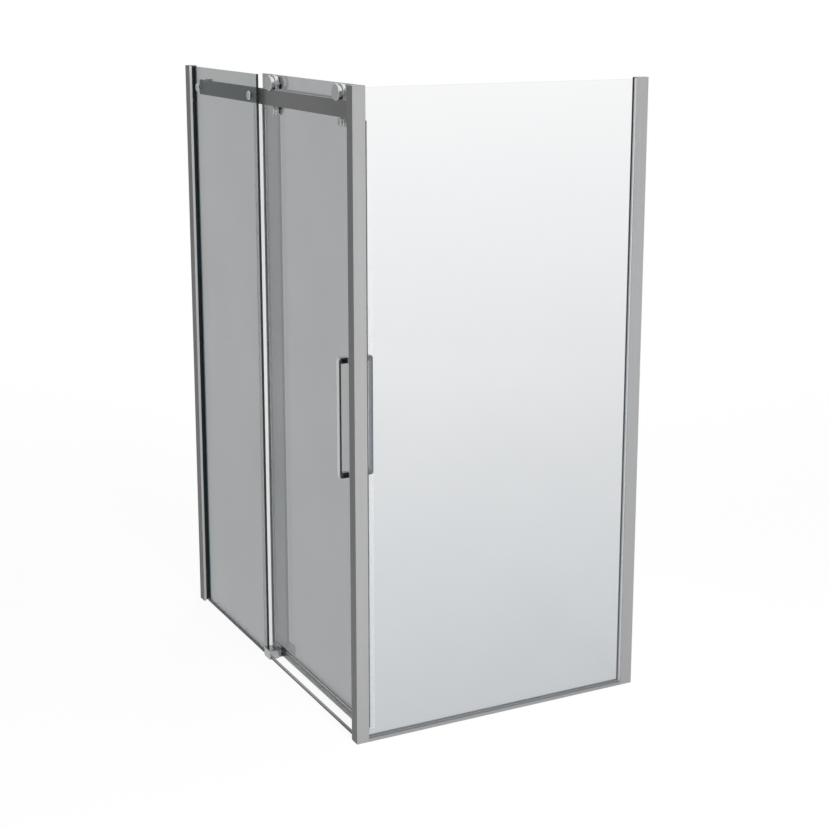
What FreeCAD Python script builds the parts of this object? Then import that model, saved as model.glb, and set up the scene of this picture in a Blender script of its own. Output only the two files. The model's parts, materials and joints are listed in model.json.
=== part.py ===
import FreeCAD, Part
import math
import os

# Corner shower enclosure with a sliding door, in millimetres.
# +Z is up. The door side faces -Y and the side panel faces +X. The walls stand at -X and +Y.
# The origin is on the floor, in the middle of the bounding box.
# Places are given by three distances: "across", from the side panel's outer plane towards -X,
# "inward", from the door side's outer plane towards +Y, and "height", from the floor.
Vector = FreeCAD.Vector

# ---- overall size ----
WIDTH = 1360.0
DEPTH = 985.0
HEIGHT = 1950.0

# ---- panes ----
GLASS = 8.0
PANE_INSET = 16.0  # outer plane to the outer face of the fixed panes
DOOR_INSET = 56.0  # outer plane to the door's outer face
DOOR_LEAD = 50.0  # side plane to the door's closing edge
DOOR_WIDTH = 740.0
OVERLAP = 44.0  # door behind the fixed glass when closed
FIXED_BELOW_TOP = 3.0
SIDE_BELOW_TOP = 6.0
DOOR_BELOW_TOP = 3.0
DOOR_BOTTOM = 12.0

# ---- uprights: the corner post and the slimmer glazing profiles share one pocket ----
PROFILE_FACE = 40.0
POST_DEPTH = 38.0
PROFILE_WALL = 2.0
PROFILE_ROUND = 0.8
OUTER_LIP = 9.0  # outer plane to the outer side of the glass pocket
POCKET_DEPTH = 11.0
POCKET_END_GAP = 2.0  # pane edge to the bottom of its pocket
POST_REAR_GASKET = 4.0
WALL_REAR_GASKET = 1.5
GASKET_PROUD = 1.0
CAP_THICK = 2.0
CAP_PLUG = 12.0
PLUG_CLEAR = 0.3
FOOT_PLUG = 20.0
CHANNEL_LEG = 24.0
CHANNEL_WALL = 2.0
CHANNEL_CLEAR = 0.3
WALL_GAP = 0.5  # glazing profile to the wall plane
WALL_HOLE_R = 3.0
WALL_HOLE_FROM_END = 150.0
WALL_HOLE_FROM_MIDDLE = 275.0
PROFILE_SCREW_FROM_END = 118.0
PROFILE_SCREW_FROM_WALL = 14.0
PROFILE_SCREW_R = 2.0
PROFILE_SCREW_HEAD_R = 4.0
PROFILE_SCREW_HEAD = 1.8
CLIP_PROUD = 7.0
CLIP_TALL = 10.0
CLIP_CLEAR = 0.3

# ---- floor line ----
THRESHOLD_TALL = 5.0
THRESHOLD_DEEP = 9.0
PANE_SEAL_WALL = 1.2
PANE_SEAL_TALL = 15.0
SILL_TALL = 10.0
SILL_OUTER = 14.0  # depth of the sill's outer chamber
SILL_SLOT = 12.0
SILL_WALL = 1.5
SILL_BASE = 2.0
SETTING_BLOCK_TALL = 4.0
SETTING_BLOCK_LONG = 80.0
SETTING_BLOCK_FROM_END = 120.0

# ---- rail ----
RAIL_BELOW_TOP = 47.0
RAIL_TALL = 50.0
RAIL_THICK = 10.0
RAIL_STANDOFF = 7.0  # fixed glass to rail
RAIL_END_GAP = 14.5  # rail end to the front glazing profile
RAIL_ROUND = 0.6
RAIL_BOLT_FROM_EDGE = 57.0
RAIL_BOLT_FROM_END = 28.5
RAIL_BOLT_R = 4.0
RAIL_BOLT_CLEAR = 0.2
GLASS_HOLE_R = 7.0
BOLT_CAP_R = 14.0
BOLT_CAP_THICK = 5.0
BOLT_CAP_ROUND = 1.2
BOLT_SEAT_R = 11.0
SOFT_WASHER = 1.0
SPACER_R = 12.0
SOCKET_R = 2.5
SOCKET_DEEP = 2.5
END_SCREW_R = 2.0
END_SCREW_HEAD_CLEAR = 0.3  # screw head to the sides of its chamber
END_SCREW_HEAD = 3.5
END_SCREW_LONG = 20.0
END_SCREW_SPREAD = 24.0
STOP_LONG = 26.0
STOP_RISE = 5.0
STOP_SKIRT = 10.0
STOP_WALL = 1.8
STOP_CLEAR = 0.15
STOP_GAP = 0.3  # open door's rear wheel to the rubber face
BUMPER_LONG = 4.0

# ---- rollers ----
ROLLER_FROM_EDGE = 120.0
TREAD_R = 19.3
TREAD_CLEAR = 0.3  # tread to the rail's top edge
FLANGE_R = 24.2
FLANGE_SIDE_CLEAR = 0.4
OUTER_FLANGE = 1.9
INNER_FLANGE = 4.0
WHEEL_ROUND = 0.5
CAP_GAP = 0.4  # turning wheel to its standing cap and spacer
ROLLER_CAP = 2.3
ROLLER_CAP_ROUND = 0.8
AXLE_R = 5.0
RUNNING = 0.05
BEARING_R = 11.0
BEARING_FIT = 0.02
BEARING_LONG = 9.0
BEARING_SHOULDER_R = 8.0
HUB_CLEAR_R = 8.5
HUB_NOSE_R = 7.0
ROLLER_SPACER_R = 22.0
SPACER_ROUND = 1.0
GLASS_GASKET = 1.5
GASKET_SETBACK = 2.0
INNER_DISC = 4.5
INNER_DISC_R = 20.0
NUT_R = 8.0
NUT_LONG = 9.0
NUT_ROUND = 4.0
NUT_BORE_LONG = 7.0

# ---- anti-lift discs ----
LIFT_BELOW_RAIL = 15.5  # rail's lower edge to the disc's axis
LIFT_NOSE_R = 13.0
LIFT_NOSE_LONG = 7.5
LIFT_DISC_R = 15.0
LIFT_DISC_LONG = 9.5
LIFT_ROUND = 1.0
LIFT_BOLT_R = 4.0
LIFT_NUT_R = 6.5
LIFT_NUT_LONG = 6.0
LIFT_NUT_ROUND = 2.0
LIFT_SOCKET_R = 3.0
LIFT_SOCKET_DEEP = 3.0

# ---- handles ----
HANDLE_FROM_EDGE = 83.0
HANDLE_HEIGHT = 975.0
HANDLE_CENTRES = 348.0
HANDLE_WIDE = 18.0
HANDLE_LEG = 18.0
HANDLE_BAR = 8.0
OUTER_REACH = 48.0
INNER_REACH = 55.5
HANDLE_CORNER = 9.0
HANDLE_INNER_CORNER = 3.0
HANDLE_ROUND = 1.8
FERRULE_LONG = 11.5
COLLAR_LONG = 5.0
COLLAR_GROW = 0.5
HANDLE_WASHER = 1.5
HANDLE_WASHER_INSET = 1.5
HANDLE_BOLT_R = 4.0
HANDLE_BOLT_GRIP = 9.0

# ---- door seals and strike ----
SEAL_WALL = 1.4
SEAL_GRIP = 12.0
FIN_THICK = 1.6
FIN_GAP = 0.6  # fin to the fixed glass and to its bottom seal
REAR_SEAL_LONG = 3.0
SEAL_BELOW_RAIL = 3.0
SEAL_BOTTOM = 5.0
BOTTOM_SEAL_TOP = 27.0
BOTTOM_SEAL_LOW = 4.0
MAGNET_LONG = 6.6
MAGNET_CLEAR = 0.3
STRIKE_BASE = 2.0
STRIKE_BASE_DEEP = 22.0
STRIKE_CORE_LONG = 3.0
CORE_WALL = 1.0
REAR_STOP_GAP = 7.0  # open door's rear seal to the glazing profile
HANDLE_STOP_GAP = 30.0  # open door's handle to the fixed glass, where that comes first

# ---- floor guide ----
GUIDE_LONG = 50.0
GUIDE_GRIP = 10.0  # guide over the fixed glass's corner
GUIDE_OUT = 8.0
GUIDE_DEEP = 36.0
GUIDE_TALL = 30.0
GUIDE_ROUND = 4.0
GUIDE_TOP_ROUND = 1.5
GUIDE_GLASS_CLEAR = 0.2
GUIDE_SILL_CLEAR = 0.2
PAD_LONG = 30.0
PAD_CLEAR = 0.4
PAD_THICK = 2.7
PAD_TOP = 24.0
GUIDE_PLATE = 3.4
GUIDE_PLATE_LONG = 38.0
GUIDE_LIP = 3.5
GUIDE_SCREW_R = 2.5
GUIDE_SCREW_HEAD_R = 4.5
GUIDE_SCREW_HEAD = 1.6
GUIDE_SCREW_SEAT = 2.4
GUIDE_SET_SCREW_R = 2.5
GUIDE_SET_SCREW_HEIGHT = 20.0

# ---- sizes that follow ----
PROFILE_TOP = HEIGHT - CAP_THICK
PANE_BACK = PANE_INSET + GLASS
POST_POCKET_BACK = PANE_BACK + POST_REAR_GASKET
WALL_POCKET_BACK = PANE_BACK + WALL_REAR_GASKET
WALL_DEPTH = WALL_POCKET_BACK + PROFILE_WALL
DOOR_BACK = DOOR_INSET + GLASS
DOOR_REAR = DOOR_LEAD + DOOR_WIDTH
DOOR_TOP = HEIGHT - DOOR_BELOW_TOP
FIXED_EDGE = DOOR_REAR - OVERLAP
FIXED_BOTTOM = THRESHOLD_TALL + PANE_SEAL_WALL
FIXED_END = WIDTH - PROFILE_FACE + POCKET_DEPTH - POCKET_END_GAP
SIDE_BOTTOM = SILL_BASE + SETTING_BLOCK_TALL
RAIL_TOP = HEIGHT - RAIL_BELOW_TOP
RAIL_BOTTOM = RAIL_TOP - RAIL_TALL
RAIL_MIDDLE = RAIL_TOP - RAIL_TALL / 2
RAIL_FRONT = PANE_BACK + RAIL_STANDOFF
RAIL_BACK = RAIL_FRONT + RAIL_THICK
RAIL_END = WIDTH - PROFILE_FACE - RAIL_END_GAP
END_SCREW_BAND = (RAIL_FRONT, PROFILE_FACE - PROFILE_WALL)
END_SCREW_INSET = sum(END_SCREW_BAND) / 2
END_SCREW_HEAD_R = (END_SCREW_BAND[1] - END_SCREW_BAND[0]) / 2 - END_SCREW_HEAD_CLEAR
RAIL_BOLTS = (FIXED_EDGE + RAIL_BOLT_FROM_EDGE, RAIL_END - RAIL_BOLT_FROM_END)
AXLE_HEIGHT = RAIL_TOP + TREAD_R + TREAD_CLEAR
ROLLERS = {"front": DOOR_LEAD + ROLLER_FROM_EDGE, "rear": DOOR_REAR - ROLLER_FROM_EDGE}
WHEEL_FRONT = RAIL_FRONT - FLANGE_SIDE_CLEAR - OUTER_FLANGE
WHEEL_BACK = RAIL_BACK + FLANGE_SIDE_CLEAR + INNER_FLANGE
LIFT_HEIGHT = RAIL_BOTTOM - LIFT_BELOW_RAIL
SEAL_OUT = DOOR_INSET - SEAL_WALL
SEAL_IN = DOOR_BACK + SEAL_WALL
REAR_SEAL_EDGE = DOOR_REAR + REAR_SEAL_LONG
HANDLE_ACROSS = DOOR_LEAD + HANDLE_FROM_EDGE
TRAVEL = min(
    WIDTH - PROFILE_FACE - REAR_STOP_GAP - REAR_SEAL_EDGE,
    FIXED_EDGE - HANDLE_STOP_GAP - HANDLE_ACROSS - HANDLE_WIDE / 2,
)
HANDLE_LEGS = (HANDLE_HEIGHT - HANDLE_CENTRES / 2, HANDLE_HEIGHT + HANDLE_CENTRES / 2)
SCREW_HEIGHTS = (PROFILE_SCREW_FROM_END, HEIGHT / 2, HEIGHT - PROFILE_SCREW_FROM_END)
WALL_HOLE_HEIGHTS = (
    WALL_HOLE_FROM_END,
    HEIGHT / 2 - WALL_HOLE_FROM_MIDDLE,
    HEIGHT / 2 + WALL_HOLE_FROM_MIDDLE,
    HEIGHT - WALL_HOLE_FROM_END,
)
GUIDE_LOW = FIXED_EDGE + GUIDE_GRIP - GUIDE_LONG
GUIDE_HIGH = FIXED_EDGE + GUIDE_GRIP
GUIDE_MIDDLE = (GUIDE_LOW + GUIDE_HIGH) / 2
GUIDE_BACK = GUIDE_OUT + GUIDE_DEEP
GUIDE_SCREW_INWARD = (PANE_BACK + GUIDE_BACK) / 2

INWARD = Vector(0, 1, 0)
ACROSS = Vector(-1, 0, 0)
UP = Vector(0, 0, 1)
NEAR = 1e-3  # places closer than this count as one


# ---- building blocks ----
def at(across, inward, height):
    return Vector(WIDTH / 2 - across, inward - DEPTH / 2, height)


def block(across, inward, height):
    """A box between three (low, high) pairs."""
    sizes = [high - low for low, high in (across, inward, height)]
    return Part.makeBox(*sizes, at(across[1], inward[0], height[0]))


def rod(across, height, inward, radius):
    """A cylinder that runs inward."""
    return Part.makeCylinder(radius, inward[1] - inward[0], at(across, inward[0], height), INWARD)


def turned(across, height, outline):
    """A solid of revolution about an inward axis. The outline is a list of (inward, radius) points."""
    points = [at(across, inward, height + radius) for inward, radius in outline]
    face = Part.Face(Part.makePolygon(points + points[:1]))
    return face.revolve(at(across, 0, height), INWARD, 360)


def joined(shapes):
    whole = shapes[0]
    for shape in shapes[1:]:
        whole = whole.fuse(shape)
    return whole.removeSplitter()


def near(a, b):
    return abs(a - b) < NEAR


def spot(edge):
    """The middle of an edge as (across, inward, height)."""
    middle = edge.CenterOfMass
    return WIDTH / 2 - middle.x, middle.y + DEPTH / 2, middle.z


def round_uprights(shape, radius, corners):
    """Rounds the vertical edges at the given (across, inward) corners."""
    chosen = []
    for edge in shape.Edges:
        across, inward = spot(edge)[:2]
        box = edge.BoundBox
        upright = box.XLength < NEAR and box.YLength < NEAR and box.ZLength > radius
        if upright and any(near(across, a) and near(inward, i) for a, i in corners):
            chosen.append(edge)
    return shape.makeFillet(radius, chosen)


def round_rims(shape, radius, rims):
    """Rounds the circular edges that lie at the given (inward, edge radius) pairs."""
    chosen = []
    for edge in shape.Edges:
        if not isinstance(edge.Curve, Part.Circle):
            continue
        inward = spot(edge)[1]
        if any(near(inward, i) and near(edge.Curve.Radius, r) for i, r in rims):
            chosen.append(edge)
    return shape.makeFillet(radius, chosen)


def save(name, shapes):
    """Writes one node. A list of several solids becomes a group of separate solids."""
    solids = [solid for shape in shapes for solid in shape.Solids]
    shape = solids[0] if len(solids) == 1 else Part.makeCompound(solids)
    if not shape.isValid():
        raise ValueError("invalid solid: " + name)
    shape.exportStep("parts/" + name + ".step")


# ---- the shared upright section ----
# "out" runs along the pane from the upright's closed side to its pocket mouth, and "deep" runs
# from the outer plane towards the shower. Each upright turns these into across and inward.
def at_front_wall(out, deep):
    return WIDTH - out, deep


def at_side_wall(out, deep):
    return deep, DEPTH - out


def at_corner(out, deep):
    return deep, out


def section_block(place, out, deep, height):
    corners = (place(out[0], deep[0]), place(out[1], deep[1]))
    across = sorted(corner[0] for corner in corners)
    inward = sorted(corner[1] for corner in corners)
    return block(across, inward, height)


POCKET = (PROFILE_FACE - POCKET_DEPTH, PROFILE_FACE)
LIP_CHAMBER = (POCKET[0], PROFILE_FACE - PROFILE_WALL)


def pocketed(place, out_start, height, depth, pocket_back):
    """The outer form with the glass pocket and the outer lip's chamber cut out of it."""
    shape = section_block(place, (out_start, PROFILE_FACE), (0, depth), height)
    corners = [place(PROFILE_FACE, 0), place(PROFILE_FACE, depth)]
    shape = round_uprights(shape, PROFILE_ROUND, corners)
    past = (height[0] - 1, height[1] + 1)
    pocket = section_block(place, (POCKET[0], PROFILE_FACE + 1), (OUTER_LIP, pocket_back), past)
    chamber = section_block(place, LIP_CHAMBER, (PROFILE_WALL, OUTER_LIP - PROFILE_WALL), past)
    return shape.cut(pocket).cut(chamber)


def glazing_gaskets(place, height, pocket_back):
    """The outer and inner rubber strips that hold the pane in its pocket."""
    out = (POCKET[0], PROFILE_FACE + GASKET_PROUD)
    outer = section_block(place, out, (OUTER_LIP, PANE_INSET), height)
    inner = section_block(place, out, (PANE_BACK, pocket_back), height)
    return [outer, inner]


def profile_screw(place, height):
    """A pan head screw from the shower side into the wall channel's rear leg."""
    across, inward = place(PROFILE_SCREW_FROM_WALL, WALL_DEPTH)
    tip = CHANNEL_WALL + PROFILE_WALL + CHANNEL_CLEAR + PROFILE_SCREW_HEAD
    outward = place(PROFILE_SCREW_FROM_WALL, WALL_DEPTH + 1)
    along = at(*outward, height) - at(across, inward, height)
    head = Part.makeCylinder(PROFILE_SCREW_HEAD_R, PROFILE_SCREW_HEAD, at(across, inward, height), along)
    shank_end = at(across, inward, height) - along * tip
    shank = Part.makeCylinder(PROFILE_SCREW_R, tip, shank_end, along)
    slot_start = at(across, inward, height) + along * (PROFILE_SCREW_HEAD / 2)
    socket = Part.makeCylinder(PROFILE_SCREW_R / 2, PROFILE_SCREW_HEAD, slot_start, along)
    return head.fuse(shank).cut(socket)


def screw_hole(place, height, radius):
    across, inward = place(PROFILE_SCREW_FROM_WALL, WALL_DEPTH)
    outward = place(PROFILE_SCREW_FROM_WALL, WALL_DEPTH + 1)
    along = at(*outward, height) - at(across, inward, height)
    depth = CHANNEL_WALL + PROFILE_WALL + CHANNEL_CLEAR + PROFILE_SCREW_HEAD
    return Part.makeCylinder(radius, depth + 1, at(across, inward, height) - along * depth, along)


def wall_channel(place):
    deep = (PROFILE_WALL + CHANNEL_CLEAR, WALL_DEPTH - PROFILE_WALL - CHANNEL_CLEAR)
    shape = section_block(place, (0, CHANNEL_LEG), deep, (0, PROFILE_TOP))
    inner = (deep[0] + CHANNEL_WALL, deep[1] - CHANNEL_WALL)
    shape = shape.cut(section_block(place, (CHANNEL_WALL, CHANNEL_LEG + 1), inner, (-1, HEIGHT)))
    middle = (deep[0] + deep[1]) / 2
    for height in WALL_HOLE_HEIGHTS:
        start = at(*place(-1, middle), height)
        end = at(*place(CHANNEL_WALL + 1, middle), height)
        along = end - start
        shape = shape.cut(Part.makeCylinder(WALL_HOLE_R, along.Length, start, along))
    for height in SCREW_HEIGHTS:
        shape = shape.cut(screw_hole(place, height, PROFILE_SCREW_R))
    return shape


def glazing_profile(place):
    shape = pocketed(place, WALL_GAP, (0, PROFILE_TOP), WALL_DEPTH, WALL_POCKET_BACK)
    hollow = (0, POCKET[0] - PROFILE_WALL)
    deep = (PROFILE_WALL, WALL_DEPTH - PROFILE_WALL)
    shape = shape.cut(section_block(place, hollow, deep, (-1, HEIGHT)))
    for height in SCREW_HEIGHTS:
        shape = shape.cut(screw_hole(place, height, PROFILE_SCREW_R))
    return shape


def top_cap(place, out_start, depth, plug_out, plug_deep):
    """A cap plate with a locating plug that stands in the upright's main hollow."""
    plate = section_block(place, (out_start, PROFILE_FACE), (0, depth), (PROFILE_TOP, HEIGHT))
    corners = [place(PROFILE_FACE, 0), place(PROFILE_FACE, depth)]
    plate = round_uprights(plate, PROFILE_ROUND, corners)
    out = (plug_out[0] + PLUG_CLEAR, plug_out[1] - PLUG_CLEAR)
    deep = (plug_deep[0] + PLUG_CLEAR, plug_deep[1] - PLUG_CLEAR)
    plug = section_block(place, out, deep, (PROFILE_TOP - CAP_PLUG, PROFILE_TOP))
    return plate.fuse(plug)


def wall_uprights():
    """The channel on each wall, the profile over it, and what holds the pane in it."""
    channel_deep = PROFILE_WALL + CHANNEL_CLEAR + CHANNEL_WALL
    plug_deep = (channel_deep, WALL_DEPTH - channel_deep)
    plug_out = (CHANNEL_WALL, POCKET[0] - PROFILE_WALL)
    gasket_low = {"front": THRESHOLD_TALL, "side": SILL_TALL}
    for name, place in (("front", at_front_wall), ("side", at_side_wall)):
        save("wall_channel_" + name, [wall_channel(place)])
        save("glazing_profile_" + name, [glazing_profile(place)])
        save("profile_screws_" + name, [profile_screw(place, height) for height in SCREW_HEIGHTS])
        cap = top_cap(place, WALL_GAP, WALL_DEPTH, plug_out, plug_deep)
        save("profile_cap_" + name, [cap])
        gaskets = glazing_gaskets(place, (gasket_low[name], PROFILE_TOP), WALL_POCKET_BACK)
        save("glazing_gaskets_" + name, gaskets)
    clip_low = PROFILE_FACE + GASKET_PROUD
    clips = [
        section_block(
            at_front_wall,
            (clip_low, clip_low + CLIP_PROUD),
            (OUTER_LIP, PANE_INSET - CLIP_CLEAR),
            (height - CLIP_TALL / 2, height + CLIP_TALL / 2),
        )
        for height in SCREW_HEIGHTS
    ]
    save("glass_clips_front", clips)


def corner_post():
    """A closed box section with the side pane's pocket on its inner side."""
    shape = pocketed(at_corner, 0, (0, PROFILE_TOP), POST_DEPTH, POST_POCKET_BACK)
    shape = round_uprights(shape, PROFILE_ROUND, [(0, 0), (POST_DEPTH, 0)])
    hollow_out = (PROFILE_WALL, POCKET[0] - PROFILE_WALL)
    hollow_deep = (PROFILE_WALL, POST_DEPTH - PROFILE_WALL)
    rear_lip = (POST_POCKET_BACK + PROFILE_WALL, POST_DEPTH - PROFILE_WALL)
    for out, deep in ((hollow_out, hollow_deep), (LIP_CHAMBER, rear_lip)):
        shape = shape.cut(section_block(at_corner, out, deep, (-1, HEIGHT)))
    for height in END_SCREW_HEIGHTS:
        shape = shape.cut(end_screw_hole(height, POST_DEPTH - PROFILE_WALL - 1))
    save("corner_post", [shape])
    save("corner_post_cap", [post_cap(hollow_out, hollow_deep)])
    clear_out = (hollow_out[0] + PLUG_CLEAR, hollow_out[1] - PLUG_CLEAR)
    clear_deep = (hollow_deep[0] + PLUG_CLEAR, hollow_deep[1] - PLUG_CLEAR)
    save("corner_post_foot", [section_block(at_corner, clear_out, clear_deep, (0, FOOT_PLUG))])
    gaskets = glazing_gaskets(at_corner, (SILL_TALL, PROFILE_TOP), POST_POCKET_BACK)
    save("glazing_gaskets_post", gaskets)


def post_cap(hollow_out, hollow_deep):
    cap = top_cap(at_corner, 0, POST_DEPTH, hollow_out, hollow_deep)
    return round_uprights(cap, PROFILE_ROUND, [(0, 0), (POST_DEPTH, 0)])


# ---- rail end fixing, inside the post's rear lip chamber ----
END_SCREW_HEIGHTS = (RAIL_MIDDLE - END_SCREW_SPREAD / 2, RAIL_MIDDLE + END_SCREW_SPREAD / 2)


def end_screw_hole(height, start):
    length = POST_DEPTH + END_SCREW_LONG - start
    return Part.makeCylinder(END_SCREW_R, length, at(start, END_SCREW_INSET, height), ACROSS)


def end_screw(height):
    seat = POST_DEPTH - PROFILE_WALL
    head = Part.makeCylinder(
        END_SCREW_HEAD_R, END_SCREW_HEAD, at(seat - END_SCREW_HEAD, END_SCREW_INSET, height), ACROSS
    )
    shank = Part.makeCylinder(
        END_SCREW_R, PROFILE_WALL + END_SCREW_LONG, at(seat, END_SCREW_INSET, height), ACROSS
    )
    return head.fuse(shank)


# ---- fixed panes and the floor line ----
def fixed_pane():
    pane = block(
        (FIXED_EDGE, FIXED_END), (PANE_INSET, PANE_BACK), (FIXED_BOTTOM, HEIGHT - FIXED_BELOW_TOP)
    )
    for across in RAIL_BOLTS:
        pane = pane.cut(rod(across, RAIL_MIDDLE, (PANE_INSET - 1, PANE_BACK + 1), GLASS_HOLE_R))
    save("fixed_glass", [pane])
    outer = (PANE_INSET - PANE_SEAL_WALL, PANE_BACK + PANE_SEAL_WALL)
    seal_across = (GUIDE_HIGH, WIDTH - PROFILE_FACE - GASKET_PROUD)
    seal = block(seal_across, outer, (THRESHOLD_TALL, THRESHOLD_TALL + PANE_SEAL_TALL))
    slot = block(
        (seal_across[0] - 1, seal_across[1] + 1), (PANE_INSET, PANE_BACK), (FIXED_BOTTOM, HEIGHT)
    )
    save("fixed_glass_seal", [seal.cut(slot)])
    middle = PANE_INSET + GLASS / 2
    threshold_inward = (middle - THRESHOLD_DEEP / 2, middle + THRESHOLD_DEEP / 2)
    across = (POST_DEPTH, WIDTH - PROFILE_FACE)
    save("threshold_strip", [block(across, threshold_inward, (0, THRESHOLD_TALL))])


def side_pane():
    start = POCKET[0] + POCKET_END_GAP
    end = DEPTH - start
    pane = block((PANE_INSET, PANE_BACK), (start, end), (SIDE_BOTTOM, HEIGHT - SIDE_BELOW_TOP))
    save("side_glass", [pane])

    run = (PROFILE_FACE, DEPTH - PROFILE_FACE)
    slot = (SILL_OUTER, SILL_OUTER + SILL_SLOT)
    past = (run[0] - 1, run[1] + 1)
    sill = block((0, slot[1] + SILL_WALL), run, (0, SILL_TALL))
    sill = sill.cut(block(slot, past, (SILL_BASE, SILL_TALL + 1)))
    chamber = block((SILL_WALL, slot[0] - SILL_WALL), past, (SILL_WALL, SILL_TALL - SILL_WALL))
    save("side_sill", [sill.cut(chamber)])

    beads = [
        block((slot[0], PANE_INSET), run, (SILL_BASE, SILL_TALL)),
        block((PANE_BACK, slot[1]), run, (SILL_BASE, SILL_TALL)),
    ]
    save("side_sill_gaskets", beads)
    middles = (SETTING_BLOCK_FROM_END, DEPTH - SETTING_BLOCK_FROM_END)
    half = SETTING_BLOCK_LONG / 2
    packers = [
        block((PANE_INSET, PANE_BACK), (m - half, m + half), (SILL_BASE, SIDE_BOTTOM)) for m in middles
    ]
    save("side_setting_blocks", packers)


# ---- rail ----
def slide_rail():
    rail = block((POST_DEPTH, RAIL_END), (RAIL_FRONT, RAIL_BACK), (RAIL_BOTTOM, RAIL_TOP))
    long_edges = [edge for edge in rail.Edges if near(edge.Length, RAIL_END - POST_DEPTH)]
    rail = rail.makeFillet(RAIL_ROUND, long_edges)
    for across in RAIL_BOLTS:
        rail = rail.cut(rod(across, RAIL_MIDDLE, (RAIL_FRONT - 1, RAIL_BACK + 1), RAIL_BOLT_R))
    for height in END_SCREW_HEIGHTS:
        rail = rail.cut(end_screw_hole(height, POST_DEPTH - 1))
    save("slide_rail", [rail])
    save("rail_end_screws", [end_screw(height) for height in END_SCREW_HEIGHTS])


def rail_bolts():
    """Each bolt passes through cap seat, glass and spacer, and threads into the rail."""
    seat_front = PANE_INSET - SOFT_WASHER
    cap_front = seat_front - BOLT_CAP_THICK
    caps, bolts, washers, spacers = [], [], [], []
    for across in RAIL_BOLTS:
        bolt = rod(across, RAIL_MIDDLE, (seat_front - 1, RAIL_BACK), RAIL_BOLT_R)
        bolts.append(bolt)
        cap = rod(across, RAIL_MIDDLE, (cap_front, seat_front), BOLT_CAP_R)
        cap = round_rims(cap, BOLT_CAP_ROUND, [(cap_front, BOLT_CAP_R)])
        cap = cap.cut(rod(across, RAIL_MIDDLE, (seat_front - 1, seat_front), RAIL_BOLT_R))
        cap = cap.cut(rod(across, RAIL_MIDDLE, (cap_front - 1, cap_front + SOCKET_DEEP), SOCKET_R))
        caps.append(cap)
        bore = rod(across, RAIL_MIDDLE, (seat_front - 1, RAIL_FRONT + 1), RAIL_BOLT_R + RAIL_BOLT_CLEAR)
        outer_washer = rod(across, RAIL_MIDDLE, (seat_front, PANE_INSET), BOLT_SEAT_R)
        sleeve = rod(across, RAIL_MIDDLE, (PANE_INSET, PANE_BACK), GLASS_HOLE_R)
        inner_washer = rod(across, RAIL_MIDDLE, (PANE_BACK, PANE_BACK + SOFT_WASHER), BOLT_SEAT_R)
        washers.append(outer_washer.fuse(sleeve).fuse(inner_washer).cut(bore))
        spacer = rod(across, RAIL_MIDDLE, (PANE_BACK + SOFT_WASHER, RAIL_FRONT), SPACER_R)
        spacers.append(spacer.cut(bore))
    save("rail_bolt_caps", caps)
    save("rail_bolts", bolts)
    save("rail_glass_bushes", washers)
    save("rail_spacers", spacers)


def rail_stop():
    """A saddle on the rail's top edge with a rubber face that the rear wheel meets."""
    top = RAIL_TOP + STOP_RISE
    half_chord = math.sqrt(FLANGE_R**2 - (AXLE_HEIGHT - top) ** 2)
    face = ROLLERS["rear"] + TRAVEL + half_chord + STOP_GAP
    across = (face + BUMPER_LONG, face + BUMPER_LONG + STOP_LONG)
    outer = (RAIL_FRONT - STOP_CLEAR - STOP_WALL, RAIL_BACK + STOP_CLEAR + STOP_WALL)
    saddle = block(across, outer, (RAIL_TOP - STOP_SKIRT, top))
    slot = block(
        (across[0] - 1, across[1] + 1),
        (RAIL_FRONT - STOP_CLEAR, RAIL_BACK + STOP_CLEAR),
        (RAIL_TOP - STOP_SKIRT - 1, RAIL_TOP),
    )
    save("rail_stop", [saddle.cut(slot)])
    bumper = block((face, across[0]), outer, (RAIL_TOP + STOP_CLEAR, top))
    save("rail_stop_bumper", [bumper])


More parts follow.
